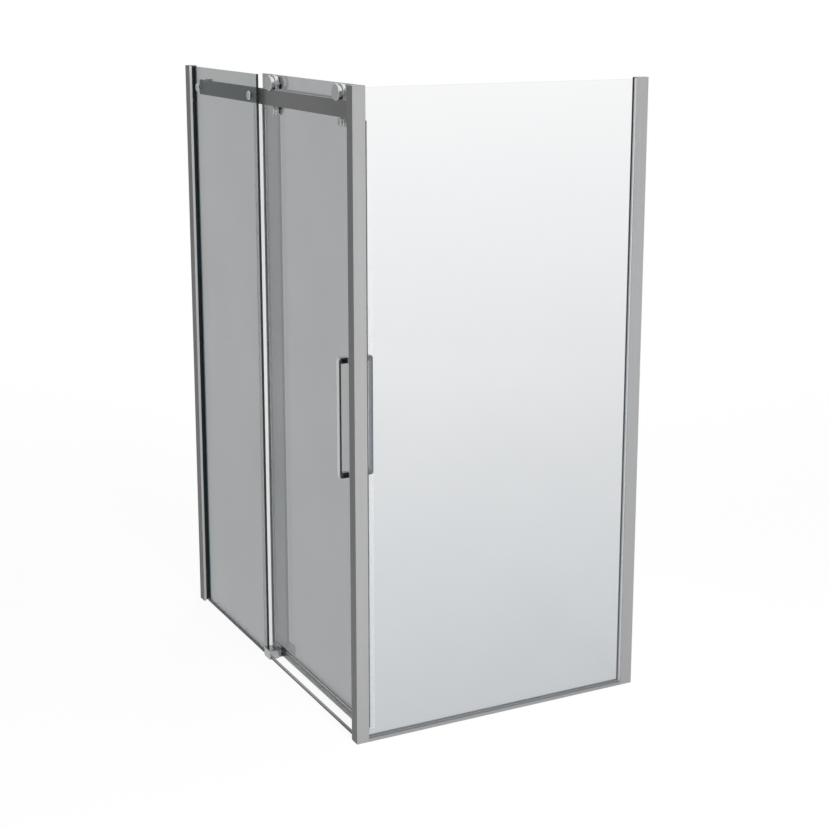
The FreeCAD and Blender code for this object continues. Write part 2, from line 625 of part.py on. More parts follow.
# ---- floor guide ----
def floor_guide():
    guide = block((GUIDE_LOW, GUIDE_HIGH), (GUIDE_OUT, GUIDE_BACK), (0, GUIDE_TALL))
    corners = [(a, i) for a in (GUIDE_LOW, GUIDE_HIGH) for i in (GUIDE_OUT, GUIDE_BACK)]
    guide = round_uprights(guide, GUIDE_ROUND, corners)
    top_edges = [edge for edge in guide.Edges if near(edge.BoundBox.ZMin, GUIDE_TALL)]
    guide = guide.makeFillet(GUIDE_TOP_ROUND, top_edges)
    plate_across = (GUIDE_MIDDLE - GUIDE_PLATE_LONG / 2, GUIDE_MIDDLE + GUIDE_PLATE_LONG / 2)
    lip_inward = (SEAL_IN + PAD_CLEAR + PAD_THICK, SEAL_IN + PAD_CLEAR + PAD_THICK + GUIDE_LIP)
    plate = block(plate_across, (GUIDE_BACK - GUIDE_ROUND, lip_inward[1]), (0, GUIDE_PLATE))
    lip = block(plate_across, lip_inward, (0, PAD_TOP))
    guide = guide.fuse(plate).fuse(lip).removeSplitter()
    glass_inward = (PANE_INSET - GUIDE_GLASS_CLEAR, PANE_BACK + GUIDE_GLASS_CLEAR)
    glass_low = FIXED_BOTTOM - GUIDE_GLASS_CLEAR
    glass_slot = block(
        (FIXED_EDGE - GUIDE_GLASS_CLEAR, GUIDE_HIGH + 1), glass_inward, (glass_low, GUIDE_TALL + 1)
    )
    middle = PANE_INSET + GLASS / 2
    half = THRESHOLD_DEEP / 2 + GUIDE_SILL_CLEAR
    sill_slot = block(
        (GUIDE_LOW - 1, GUIDE_HIGH + 1),
        (middle - half, middle + half),
        (-1, THRESHOLD_TALL + GUIDE_SILL_CLEAR),
    )
    guide = guide.cut(glass_slot).cut(sill_slot)
    set_across = FIXED_EDGE + GUIDE_GRIP / 2
    set_hole = rod(set_across, GUIDE_SET_SCREW_HEIGHT, (GUIDE_OUT - 1, PANE_INSET), GUIDE_SET_SCREW_R)
    guide = guide.cut(set_hole)
    place = at(GUIDE_MIDDLE, GUIDE_SCREW_INWARD, 0)
    seat = at(GUIDE_MIDDLE, GUIDE_SCREW_INWARD, GUIDE_TALL - GUIDE_SCREW_SEAT)
    guide = guide.cut(Part.makeCylinder(GUIDE_SCREW_R, GUIDE_TALL, place, UP))
    guide = guide.cut(Part.makeCylinder(GUIDE_SCREW_HEAD_R, GUIDE_TALL, seat, UP))
    shank = Part.makeCylinder(GUIDE_SCREW_R, GUIDE_TALL - GUIDE_SCREW_SEAT, place, UP)
    floor_screw = shank.fuse(Part.makeCylinder(GUIDE_SCREW_HEAD_R, GUIDE_SCREW_HEAD, seat, UP))
    save("guide_block", [guide])
    set_screw = rod(
        set_across, GUIDE_SET_SCREW_HEIGHT, (GUIDE_OUT + 1, PANE_INSET - GUIDE_GLASS_CLEAR), GUIDE_SET_SCREW_R
    )
    save("guide_screws", [floor_screw, set_screw])
    pad_across = (GUIDE_MIDDLE - PAD_LONG / 2, GUIDE_MIDDLE + PAD_LONG / 2)
    pads = [
        block(pad_across, (GUIDE_BACK, SEAL_OUT - PAD_CLEAR), (GUIDE_PLATE, PAD_TOP)),
        block(pad_across, (SEAL_IN + PAD_CLEAR, lip_inward[0]), (GUIDE_PLATE, PAD_TOP)),
    ]
    save("guide_pads", pads)


# ---- door ----
def door_pane():
    pane = block((DOOR_LEAD, DOOR_REAR), (DOOR_INSET, DOOR_BACK), (DOOR_BOTTOM, DOOR_TOP))
    holes = [(across, AXLE_HEIGHT) for across in ROLLERS.values()]
    holes += [(across, LIFT_HEIGHT) for across in ROLLERS.values()]
    holes += [(HANDLE_ACROSS, height) for height in HANDLE_LEGS]
    for across, height in holes:
        pane = pane.cut(rod(across, height, (DOOR_INSET - 1, DOOR_BACK + 1), GLASS_HOLE_R))
    save("door_glass", [pane])


def clip_on(across, height, slot_across, slot_height):
    """A U strip over a door edge: an outer block with the pane's space cut out."""
    outer = block(across, (SEAL_OUT, SEAL_IN), height)
    return outer.cut(block(slot_across, (DOOR_INSET, DOOR_BACK), slot_height))


def door_seals():
    upper = RAIL_BOTTOM - SEAL_BELOW_RAIL
    run = (BOTTOM_SEAL_TOP, upper)
    rear = clip_on(
        (DOOR_REAR - SEAL_GRIP, REAR_SEAL_EDGE), run, (0, DOOR_REAR), (0, HEIGHT)
    )
    fin_across = (REAR_SEAL_EDGE - FIN_THICK, REAR_SEAL_EDGE)
    fin_low = THRESHOLD_TALL + PANE_SEAL_TALL + FIN_GAP
    fin = block(fin_across, (PANE_BACK + FIN_GAP, SEAL_OUT), (fin_low, upper))
    foot_inward = (PANE_BACK + PANE_SEAL_WALL + FIN_GAP, SEAL_IN)
    foot = block(fin_across, foot_inward, (SEAL_BOTTOM, BOTTOM_SEAL_TOP))
    save("door_rear_seal", [joined([rear, fin, foot])])

    lead = DOOR_LEAD - SEAL_WALL
    front = clip_on((lead, DOOR_LEAD + SEAL_GRIP), run, (DOOR_LEAD, WIDTH), (0, HEIGHT))
    bulb = block((lead - MAGNET_LONG, lead), (DOOR_INSET, DOOR_BACK), run)
    core_across = (lead - MAGNET_LONG + CORE_WALL, lead - CORE_WALL)
    core_inward = (DOOR_INSET + CORE_WALL, DOOR_BACK - CORE_WALL)
    core = block(core_across, core_inward, run)
    save("door_front_seal", [front.fuse(bulb.cut(core)).removeSplitter()])
    save("door_magnet", [core])

    base = (DOOR_LEAD, REAR_SEAL_EDGE - FIN_THICK)
    body = clip_on(base, (DOOR_BOTTOM - SEAL_WALL, BOTTOM_SEAL_TOP), (0, WIDTH), (DOOR_BOTTOM, HEIGHT))
    wiper = block(base, (DOOR_INSET, DOOR_BACK), (BOTTOM_SEAL_LOW, DOOR_BOTTOM - SEAL_WALL))
    save("door_bottom_seal", [joined([body, wiper])])


def strike():
    """The closing strip on the side pane, with its magnet, in line with the door's edge."""
    tip = DOOR_LEAD - SEAL_WALL - MAGNET_LONG - MAGNET_CLEAR
    middle = DOOR_INSET + GLASS / 2
    base_inward = (middle - STRIKE_BASE_DEEP / 2, middle + STRIKE_BASE_DEEP / 2)
    run = (BOTTOM_SEAL_TOP, RAIL_BOTTOM - SEAL_BELOW_RAIL)
    base = block((PANE_BACK, PANE_BACK + STRIKE_BASE), base_inward, run)
    arm = block((PANE_BACK + STRIKE_BASE, tip), (DOOR_INSET, DOOR_BACK), run)
    core_inward = (DOOR_INSET + CORE_WALL, DOOR_BACK - CORE_WALL)
    core = block((tip - CORE_WALL - STRIKE_CORE_LONG, tip - CORE_WALL), core_inward, run)
    save("strike_strip", [joined([base, arm]).cut(core)])
    save("strike_magnet", [core])


def rollers():
    cap_back = WHEEL_FRONT - CAP_GAP
    cap_front = cap_back - ROLLER_CAP
    spacer_front = WHEEL_BACK + CAP_GAP
    spacer_back = DOOR_INSET - GLASS_GASKET
    bearing = ((RAIL_FRONT + RAIL_BACK - BEARING_LONG) / 2, (RAIL_FRONT + RAIL_BACK + BEARING_LONG) / 2)
    disc = (DOOR_BACK + GLASS_GASKET, DOOR_BACK + GLASS_GASKET + INNER_DISC)
    nut = (disc[1], disc[1] + NUT_LONG)
    caps, axles, spacers, gaskets, discs, nuts = [], [], [], [], [], []
    for name, across in ROLLERS.items():
        tread = (RAIL_FRONT - FLANGE_SIDE_CLEAR, RAIL_BACK + FLANGE_SIDE_CLEAR)
        wheel = turned(
            across,
            AXLE_HEIGHT,
            [
                (WHEEL_FRONT, BEARING_SHOULDER_R),
                (WHEEL_FRONT, FLANGE_R),
                (tread[0], FLANGE_R),
                (tread[0], TREAD_R),
                (tread[1], TREAD_R),
                (tread[1], FLANGE_R),
                (WHEEL_BACK, FLANGE_R),
                (WHEEL_BACK, HUB_CLEAR_R),
                (bearing[1], HUB_CLEAR_R),
                (bearing[1], BEARING_R),
                (bearing[0], BEARING_R),
                (bearing[0], BEARING_SHOULDER_R),
            ],
        )
        rims = [(inward, FLANGE_R) for inward in (WHEEL_FRONT, tread[0], tread[1], WHEEL_BACK)]
        wheel = round_rims(wheel, WHEEL_ROUND, rims)
        save("roller_wheel_" + name, [wheel])
        ring = rod(across, AXLE_HEIGHT, bearing, BEARING_R - BEARING_FIT)
        save("roller_bearing_" + name, [ring.cut(rod(across, AXLE_HEIGHT, bearing, AXLE_R + RUNNING))])

        cap = rod(across, AXLE_HEIGHT, (cap_front, cap_back), FLANGE_R)
        caps.append(round_rims(cap, ROLLER_CAP_ROUND, [(cap_front, FLANGE_R)]))
        axles.append(rod(across, AXLE_HEIGHT, (cap_back, nut[0] + NUT_BORE_LONG), AXLE_R))
        hollow = rod(across, AXLE_HEIGHT, (cap_back, nut[1] + 1), AXLE_R)
        spacer = rod(across, AXLE_HEIGHT, (spacer_front, spacer_back), ROLLER_SPACER_R)
        spacer = round_rims(spacer, SPACER_ROUND, [(spacer_front, ROLLER_SPACER_R)])
        nose = rod(across, AXLE_HEIGHT, (bearing[1] + CAP_GAP, spacer_front), HUB_NOSE_R)
        spacers.append(spacer.fuse(nose).cut(hollow))
        gasket_r = ROLLER_SPACER_R - GASKET_SETBACK
        outer_gasket = rod(across, AXLE_HEIGHT, (spacer_back, DOOR_INSET), gasket_r)
        sleeve = rod(across, AXLE_HEIGHT, (DOOR_INSET, DOOR_BACK), GLASS_HOLE_R)
        inner_gasket = rod(across, AXLE_HEIGHT, (DOOR_BACK, disc[0]), INNER_DISC_R - GASKET_SETBACK)
        gaskets.append(outer_gasket.fuse(sleeve).fuse(inner_gasket).cut(hollow))
        inner = rod(across, AXLE_HEIGHT, disc, INNER_DISC_R)
        discs.append(round_rims(inner, SPACER_ROUND, [(disc[1], INNER_DISC_R)]).cut(hollow))
        dome = rod(across, AXLE_HEIGHT, nut, NUT_R)
        dome = round_rims(dome, NUT_ROUND, [(nut[1], NUT_R)])
        nuts.append(dome.cut(rod(across, AXLE_HEIGHT, (nut[0], nut[0] + NUT_BORE_LONG), AXLE_R)))
    save("roller_caps", caps)
    save("roller_axles", axles)
    save("roller_spacers", spacers)
    save("roller_gaskets", gaskets)
    save("roller_inner_discs", discs)
    save("roller_nuts", nuts)


def anti_lift():
    """Stepped discs under the rail: the nose reaches below it and keeps the wheels on."""
    back = DOOR_INSET - GLASS_GASKET
    step = back - LIFT_DISC_LONG
    front = step - LIFT_NOSE_LONG
    inner = (DOOR_BACK + GLASS_GASKET, DOOR_BACK + GLASS_GASKET + INNER_DISC)
    nut = (inner[1], inner[1] + LIFT_NUT_LONG)
    discs, bolts, gaskets, washers = [], [], [], []
    for across in ROLLERS.values():
        disc = rod(across, LIFT_HEIGHT, (step, back), LIFT_DISC_R)
        disc = round_rims(disc, LIFT_ROUND, [(step, LIFT_DISC_R)])
        nose = rod(across, LIFT_HEIGHT, (front, step + LIFT_ROUND), LIFT_NOSE_R)
        nose = round_rims(nose, LIFT_ROUND, [(front, LIFT_NOSE_R)])
        bore = rod(across, LIFT_HEIGHT, (step, inner[1] + 1), LIFT_BOLT_R)
        socket = rod(across, LIFT_HEIGHT, (front - 1, front + LIFT_SOCKET_DEEP), LIFT_SOCKET_R)
        discs.append(disc.fuse(nose).cut(bore).cut(socket))
        shank = rod(across, LIFT_HEIGHT, (step, inner[1]), LIFT_BOLT_R)
        head = rod(across, LIFT_HEIGHT, nut, LIFT_NUT_R)
        head = round_rims(head, LIFT_NUT_ROUND, [(nut[1], LIFT_NUT_R)])
        bolts.append(shank.fuse(head))
        outer_gasket = rod(across, LIFT_HEIGHT, (back, DOOR_INSET), LIFT_DISC_R - GASKET_SETBACK)
        sleeve = rod(across, LIFT_HEIGHT, (DOOR_INSET, DOOR_BACK), GLASS_HOLE_R)
        inner_gasket = rod(across, LIFT_HEIGHT, (DOOR_BACK, inner[0]), LIFT_DISC_R - GASKET_SETBACK)
        gaskets.append(outer_gasket.fuse(sleeve).fuse(inner_gasket).cut(bore))
        washer = rod(across, LIFT_HEIGHT, inner, LIFT_DISC_R)
        washer = round_rims(washer, LIFT_ROUND, [(inner[1], LIFT_DISC_R)])
        washers.append(washer.cut(bore))
    save("anti_lift_discs", discs)
    save("anti_lift_bolts", bolts)
    save("anti_lift_gaskets", gaskets)
    save("anti_lift_washers", washers)


# ---- handles ----
# "reach" is the distance from the glass face. The outer handle runs outward from the door's
# outer face, and the inner handle, which stands further off, runs inward from its inner face.
def out_from_glass(reach):
    return DOOR_INSET - reach


def in_from_glass(reach):
    return DOOR_BACK + reach


def reach_pair(side, low, high):
    return tuple(sorted((side(low), side(high))))


def bar_handle(side, full_reach):
    """A flat bar on two square legs, with rounded corners and softened edges."""
    half = HANDLE_WIDE / 2
    across = (HANDLE_ACROSS - half, HANDLE_ACROSS + half)
    low = HANDLE_LEGS[0] - HANDLE_LEG / 2
    high = HANDLE_LEGS[1] + HANDLE_LEG / 2
    leg_start = HANDLE_WASHER + FERRULE_LONG + COLLAR_LONG
    shape = block(across, reach_pair(side, leg_start, full_reach), (low, high))
    gap_height = (low + HANDLE_LEG, high - HANDLE_LEG)
    past = (across[0] - 1, across[1] + 1)
    shape = shape.cut(block(past, reach_pair(side, 0, full_reach - HANDLE_BAR), gap_height))
    for radius, reach, heights in (
        (HANDLE_CORNER, full_reach, (low, high)),
        (HANDLE_INNER_CORNER, full_reach - HANDLE_BAR, gap_height),
    ):
        chosen = []
        for edge in shape.Edges:
            inward, height = spot(edge)[1:]
            if near(inward, side(reach)) and any(near(height, h) for h in heights):
                chosen.append(edge)
        shape = shape.makeFillet(radius, chosen)
    flat = [edge for edge in shape.Edges if edge.BoundBox.XLength < NEAR]
    rims = [edge for edge in flat if not near(spot(edge)[1], side(leg_start))]
    return shape.makeFillet(HANDLE_ROUND, rims)


def leg_piece(side, low, high, height, grow):
    half = HANDLE_WIDE / 2 + grow
    tall = HANDLE_LEG / 2 + grow
    across = (HANDLE_ACROSS - half, HANDLE_ACROSS + half)
    piece = block(across, reach_pair(side, low, high), (height - tall, height + tall))
    corner_edges = [edge for edge in piece.Edges if near(edge.BoundBox.YLength, high - low)]
    piece = piece.makeFillet(HANDLE_ROUND, corner_edges)
    bolt = reach_pair(side, low - 1, high + 1)
    return piece.cut(rod(HANDLE_ACROSS, height, bolt, HANDLE_BOLT_R))


def handles():
    ferrule_end = HANDLE_WASHER + FERRULE_LONG
    leg_start = ferrule_end + COLLAR_LONG
    collars, ferrules, washers, bolts = [], [], [], []
    for name, side, full_reach in (
        ("outer", out_from_glass, OUTER_REACH),
        ("inner", in_from_glass, INNER_REACH),
    ):
        shape = bar_handle(side, full_reach)
        for height in HANDLE_LEGS:
            hole = reach_pair(side, leg_start - 1, leg_start + HANDLE_BOLT_GRIP)
            shape = shape.cut(rod(HANDLE_ACROSS, height, hole, HANDLE_BOLT_R))
            collars.append(leg_piece(side, ferrule_end, leg_start, height, COLLAR_GROW))
            ferrules.append(leg_piece(side, HANDLE_WASHER, ferrule_end, height, 0))
            washers.append(leg_piece(side, 0, HANDLE_WASHER, height, -HANDLE_WASHER_INSET))
        save("handle_" + name, [shape])
    for height in HANDLE_LEGS:
        end = leg_start + HANDLE_BOLT_GRIP
        bolts.append(rod(HANDLE_ACROSS, height, (out_from_glass(end), in_from_glass(end)), HANDLE_BOLT_R))
    save("handle_collars", collars)
    save("handle_ferrules", ferrules)
    save("handle_washers", washers)
    save("handle_bolts", bolts)


os.makedirs("parts", exist_ok=True)
wall_uprights()
corner_post()
fixed_pane()
side_pane()
slide_rail()
rail_bolts()
rail_stop()
floor_guide()
door_pane()
door_seals()
strike()
rollers()
anti_lift()
handles()
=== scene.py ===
"""Looks of a corner shower enclosure with a sliding door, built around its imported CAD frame.

Metres, in the frame's own axes: X is along the door side (the side pane at +X, the wall
profile at -X), the door side faces -Y, Z is up from the floor.

The colours are fitted to the tones of the photograph, piece by piece and for some faces apart,
under this script's lamps. So they aren't measured colours, and pieces of one metal differ.
"""

import json
import math

import bpy
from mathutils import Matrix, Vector

# Camera of the photograph: right of the post, above the enclosure's middle, looking slightly down.
CAMERA_AT = (4.7942, -2.4172, 2.2167)
CAMERA_AZIMUTH = 62.788
CAMERA_PITCH = 12.154
CAMERA_LENS = 71.32
CAMERA_SENSOR = 36.0
CAMERA_SHIFT = -0.09
CAMERA_END = 300.0

# Floor: half its side, the circle inside which it shows the object's shadow, how much of the
# shadow it shows, and how bright it lies under the lamps close to the object.
FLOOR_HALF = 60.0
FLOOR_BELOW = 0.0005
FLOOR_GREYS = ((0.57, 0.57, 0.57), (0.61, 0.61, 0.61))
FLOOR_MOTTLE = (0.6, 0.6, 0.6)
SHADOW_FULL = 1.6
SHADOW_GONE = 5.0
SHADOW_SHARE = 0.30
FLOOR_LEVEL = 0.30

# World: what lights the object. Seen directly it is white.
WORLD_LEVEL = 0.13
WHITE = (1.0, 1.0, 1.0)
BLACK = (0.0, 0.0, 0.0)

# Lamps: name, place, the point faced, side and power.
LAMPS = (
    ("key_lamp", (5.2, -0.65, 1.7), (0.0, -0.2, 1.0), 1.3, 208.0),
    ("top_lamp", (-0.1, 0.1, 2.95), (-0.1, 0.1, 0.0), 1.6, 12.0),
    ("rear_lamp", (-5.0, 2.6, 1.8), (0.0, 0.0, 1.0), 2.4, 80.0),
)

# Noise scales: a slow drift over the whole piece, and a fine grain, even or drawn along one axis.
DRIFT = (2.2, 2.2, 1.4)
DRIFT_SHARE = 0.65
ALONG_X = (2.0, 260.0, 260.0)
ALONG_Y = (260.0, 2.0, 260.0)
ALONG_Z = (260.0, 260.0, 2.0)
EVENLY = (90.0, 90.0, 90.0)
GRAIN_DEPTH = 0.00005

# Glass: the slow film on it, how its hold varies with the film, and the test for its edges.
FILM = (3.0, 3.0, 3.0)
FILM_HOLD = (0.98, 1.02)
FILM_ROUGHNESS = 0.012
EDGE_ROUGHNESS = 0.12
EDGE_HOLD = 0.96
EDGE_STARTS, EDGE_FULL = 0.6, 0.45
GLASS_IOR = 1.45
DOOR_GLASS_IOR = 2.6  # far above real glass: fitted, so that the door is as light as in the photograph
PANE_TOP = 1.95

# Planes that part two finishes on one piece.
GASKET_SPLIT_Y = -0.4725
GASKET_SPLIT_X = 0.66
REAR_SEAL_LIP = (-0.4385, -0.4364)
BOTTOM_SEAL_RIM = (0.0235, 0.03)
BOTTOM_SEAL_WIPER = (0.0, 0.0107)
FAR = 1.0
FACE_LIMIT = 0.9  # a face that looks along an axis has at least this much of its normal on it
SLOPE_LIMIT = 0.7

# Colours that more than one finish uses.
PROFILE = (0.37, 0.372, 0.376)
# Painted light on the lips of the wall profiles' pockets.
LIP_PAINTED_LIGHT = (0.80, 0.802, 0.806)
RUBBER = (0.02, 0.02, 0.021)
CLEAR_PLASTIC = (0.62, 0.63, 0.63)
DARK_LINE = (0.10, 0.102, 0.104)
GLASS_EDGE = (0.02, 0.023, 0.023)


# ---- Nodes ----


def put(tree, kind, **inputs):
    """A new node whose inputs are set by name, from a value or from another node's output."""
    made = tree.nodes.new(kind)
    for name, value in inputs.items():
        socket = made.inputs[name.replace("_", " ")]
        if isinstance(value, bpy.types.NodeSocket):
            tree.links.new(value, socket)
        else:
            socket.default_value = value
    return made


def new_material(name):
    """An empty node material and the socket that its surface goes to."""
    material = bpy.data.materials.new(name)
    material.use_nodes = True
    material.node_tree.nodes.clear()
    output = material.node_tree.nodes.new("ShaderNodeOutputMaterial")
    return material, material.node_tree, output.inputs["Surface"]


def noise(tree, scale, detail=3.0):
    """Noise over the piece's own coordinates, scaled separately along X, Y and Z."""
    place = put(tree, "ShaderNodeTexCoord").outputs["Object"]
    stretched = put(tree, "ShaderNodeMapping", Vector=place, Scale=scale).outputs[0]
    return put(tree, "ShaderNodeTexNoise", Vector=stretched, Scale=1.0, Detail=detail).outputs["Fac"]


def spread(tree, value, low, high, start=0.3, end=0.7):
    """Maps start to end, as it stands the middle of a noise, onto low to high."""
    return put(tree, "ShaderNodeMapRange", Value=value, From_Min=start, From_Max=end,
               To_Min=low, To_Max=high).outputs[0]


def maths(tree, operation, first, second=None):
    """One Math node."""
    made = tree.nodes.new("ShaderNodeMath")
    made.operation = operation
    for socket, value in zip(made.inputs, (first, second)):
        if isinstance(value, bpy.types.NodeSocket):
            tree.links.new(value, socket)
        elif value is not None:
            socket.default_value = value
    return made.outputs[0]


def less(tree, value):
    """1 less a value."""
    return maths(tree, "SUBTRACT", 1.0, value)


def between(tree, share, first, second):
    """Mixes two colours, given as RGB numbers or as sockets."""
    made = tree.nodes.new("ShaderNodeMix")
    made.data_type = "RGBA"
    tree.links.new(share, made.inputs["Factor"])
    for socket, value in ((made.inputs[6], first), (made.inputs[7], second)):
        if isinstance(value, bpy.types.NodeSocket):
            tree.links.new(value, socket)
        else:
            socket.default_value = (*value, 1.0)
    return made.outputs[2]


def around(tree, tone, colour, share):
    """A colour that the tone takes from a little darker to a little lighter."""
    darker, lighter = (tuple(min(1.0, part * by) for part in colour) for by in (1.0 - share, 1.0 + share))
    return between(tree, tone, darker, lighter)


def looking(axis, limit=FACE_LIMIT):
    """A test for the faces that look along an axis, either way."""
    def test(tree):
        normal = put(tree, "ShaderNodeTexCoord").outputs["Normal"]
        along = put(tree, "ShaderNodeSeparateXYZ", Vector=normal).outputs[axis]
        return maths(tree, "GREATER_THAN", maths(tree, "ABSOLUTE", along), limit)
    return test


def within(axis, low, high):
    """A test for the part of a piece between two planes."""
    def test(tree):
        place = put(tree, "ShaderNodeTexCoord").outputs["Object"]
        along = put(tree, "ShaderNodeSeparateXYZ", Vector=place).outputs[axis]
        above = maths(tree, "GREATER_THAN", along, low)
        return maths(tree, "MULTIPLY", above, maths(tree, "LESS_THAN", along, high))
    return test


# ---- Kinds of surface ----


def finish_of(name, colour, metallic, roughness, level, grain, shade=0.05, bump=0.15, clear=None, others=()):
    """A surface whose colour drifts slowly over the piece, with a fine grain in its roughness and
    relief. clear is the range of its opacity. Each of others is a test for part of the piece, and
    the colour and opacity there."""
    material, tree, surface = new_material(name)
    drift = noise(tree, DRIFT, 2.0)
    fine = noise(tree, grain)
    tone = maths(
        tree, "ADD",
        maths(tree, "MULTIPLY", drift, DRIFT_SHARE),
        maths(tree, "MULTIPLY", fine, 1.0 - DRIFT_SHARE))
    tone = spread(tree, tone, 0.0, 1.0)
    relief = put(tree, "ShaderNodeBump", Height=fine, Strength=bump, Distance=GRAIN_DEPTH)
    paint = around(tree, tone, colour, shade)
    if clear is not None:
        opacity = spread(tree, tone, clear[0], clear[1], 0.0, 1.0)
    for test, other, other_clear in others:
        there = test(tree)
        paint = between(tree, there, paint, around(tree, tone, other, shade))
        if clear is not None:
            opacity = spread(tree, there, opacity, other_clear, 0.0, 1.0)
    shader = put(
        tree, "ShaderNodeBsdfPrincipled",
        Base_Color=paint,
        Metallic=metallic,
        Roughness=spread(tree, fine, roughness[0], roughness[1]),
        Normal=relief.outputs[0],
    )
    shader.inputs["Specular IOR Level"].default_value = level
    if clear is not None:
        tree.links.new(opacity, shader.inputs["Alpha"])
    tree.links.new(shader.outputs[0], surface)
    return material


def glass_of(name, across, body, hold_top, hold_bottom, ior, edge):
    """Glass of one pane, see-through by opacity and without refraction. across is the axis of its
    faces. hold is the share of light a face keeps back, at the pane's top and at its bottom. The
    ground edges and bored holes are dense."""
    material, tree, surface = new_material(name)
    coordinates = put(tree, "ShaderNodeTexCoord")
    along = put(tree, "ShaderNodeSeparateXYZ", Vector=coordinates.outputs["Normal"]).outputs[across]
    on_edge = spread(tree, maths(tree, "ABSOLUTE", along), 1.0, 0.0, EDGE_FULL, EDGE_STARTS)
    height = put(tree, "ShaderNodeSeparateXYZ", Vector=coordinates.outputs["Object"]).outputs["Z"]
    held = spread(tree, height, hold_bottom, hold_top, 0.0, PANE_TOP)
    film = noise(tree, FILM, 2.0)
    held = maths(tree, "MULTIPLY", held, spread(tree, film, *FILM_HOLD))
    # An edge is dense from outside only, so that it casts no dark band when seen through the pane.
    inside = put(tree, "ShaderNodeNewGeometry").outputs["Backfacing"]
    alpha = spread(tree, maths(tree, "SUBTRACT", on_edge, inside), held, EDGE_HOLD, 0.0, 1.0)
    polish = spread(tree, film, 0.0, FILM_ROUGHNESS)
    shader = put(
        tree, "ShaderNodeBsdfPrincipled",
        Base_Color=between(tree, on_edge, body, edge),
        Roughness=maths(tree, "ADD", polish, maths(tree, "MULTIPLY", on_edge, EDGE_ROUGHNESS)),
        IOR=ior,
        Alpha=alpha,
    )
    tree.links.new(shader.outputs[0], surface)
    return material


def profile_metal(name, colour, grain=ALONG_Z, others=()):
    """Satin anodised aluminium, drawn along the profile."""
    return finish_of(name, colour, 0.04, (0.26, 0.36), 0.10, grain, others=others)


def chrome(name, colour, metallic, roughness, others=()):
    """Plated metal with an even, hardly visible grain."""
    return finish_of(name, colour, metallic, roughness, 0.5, EVENLY, bump=0.04, others=others)


def rubber(name, colour, others=()):
    """Matt rubber with a visible grain."""
    return finish_of(name, colour, 0.0, (0.55, 0.72), 0.3, EVENLY, bump=0.3, others=others)


def clear_seal(name, colour=CLEAR_PLASTIC, grain=ALONG_Z, clear=(0.16, 0.24), others=()):
    """Clear extruded plastic."""
    return finish_of(name, colour, 0.0, (0.16, 0.28), 0.5, grain, clear=clear, others=others)


# ---- Finish of each slot ----


def slot_finishes():
    """The finish of each of the frame's material slots. The chrome has painted shade on the faces of
    the discs, and the rail painted highlights on its top and bottom edges."""
    return {
        "profile_metal": profile_metal("profile_metal", PROFILE),
        "channel_metal": finish_of(
            "channel_metal", (0.42, 0.422, 0.426), 0.15, (0.38, 0.50), 0.15, ALONG_Z),
        "rail_metal": finish_of(
            "rail_metal", (0.25, 0.253, 0.256), 0.15, (0.30, 0.40), 0.15, ALONG_X, bump=0.05,
            # Painted highlight: the rail's faces looking up or down are lighter.
            others=[(looking("Z", SLOPE_LIMIT), (0.66, 0.665, 0.67), None)]),
        "chrome": chrome(
            "chrome", (0.78, 0.785, 0.79), 1.0, (0.08, 0.15),
            # Painted shade: the faces of the discs, looking along Y, are darker than the rims.
            others=[(looking("Y"), (0.24, 0.243, 0.247), None)]),
        "steel": finish_of("steel", (0.32, 0.322, 0.326), 0.9, (0.18, 0.28), 0.5, EVENLY),
        "screw_dark": finish_of("screw_dark", (0.05, 0.05, 0.052), 0.6, (0.25, 0.38), 0.4, EVENLY),
        "gasket": rubber("gasket", RUBBER),
        "clear_seal": clear_seal("clear_seal"),
        "magnet": finish_of("magnet", (0.86, 0.865, 0.87), 0.0, (0.45, 0.6), 0.3, ALONG_Z),
        "nylon": finish_of("nylon", (0.42, 0.425, 0.43), 0.0, (0.42, 0.58), 0.35, EVENLY, bump=0.2),
        "fixed_glass": glass_of(
            "fixed_glass", "Y", (0.02, 0.12, 0.16), 0.475, 0.475, GLASS_IOR, GLASS_EDGE),
        "door_glass": glass_of(
            "door_glass", "Y", (0.02, 0.10, 0.14), 0.555, 0.555, DOOR_GLASS_IOR, (0.15, 0.17, 0.17)),
    }


# ---- Finish of single pieces ----


def upright_finishes():
    """Wall profiles, with painted light on the lips of their pockets, and the strips beside the glass."""
    return {
        # The front wall profile's metal is a darker copy, painted shade on its front face.
        "glazing_profile_front": profile_metal(
            "front_profile_metal", (0.32, 0.322, 0.326), others=[(looking("X"), LIP_PAINTED_LIGHT, None)]),
        "glazing_profile_side": profile_metal(
            "side_profile_metal", PROFILE, others=[(looking("Y"), LIP_PAINTED_LIGHT, None)]),
        # Painted light: the post's gaskets are near white, against the shade of the post's pocket.
        "glazing_gaskets_post": rubber("gasket_post", (0.75, 0.752, 0.756)),
        # Painted light: the part of the gasket behind the glass is pale grey, against the shade of its
        # pocket.
        "glazing_gaskets_front": rubber(
            "gasket_front", RUBBER, [(within("Y", GASKET_SPLIT_Y, 0.0), (0.45, 0.45, 0.455), None)]),
        # Painted light: the part of the gasket outside the glass is light grey.
        "glazing_gaskets_side": rubber(
            "gasket_side", RUBBER, [(within("X", GASKET_SPLIT_X, FAR), (0.85, 0.85, 0.855), None)]),
        "strike_strip": clear_seal("strike_strip", (0.88, 0.885, 0.89), clear=(0.03, 0.05)),
    }


def pane_finishes():
    """The side pane, with painted shade that deepens towards the floor, and the line below it."""
    return {
        # Painted shade: the side pane holds back more light towards its bottom.
        "side_glass": glass_of(
            "side_glass", "X", (0.27, 0.31, 0.345), 0.055, 0.36, GLASS_IOR, GLASS_EDGE),
        "side_sill": profile_metal("sill_metal", (0.33, 0.332, 0.336), ALONG_Y),
        # The clear seal is near white: partly its own pale colour, partly a painted highlight along the top
        # of the sill.
        "side_sill_gaskets": finish_of(
            "sill_seal", (0.85, 0.855, 0.86), 0.0, (0.2, 0.3), 0.5, ALONG_Y, clear=(0.75, 0.85)),
    }


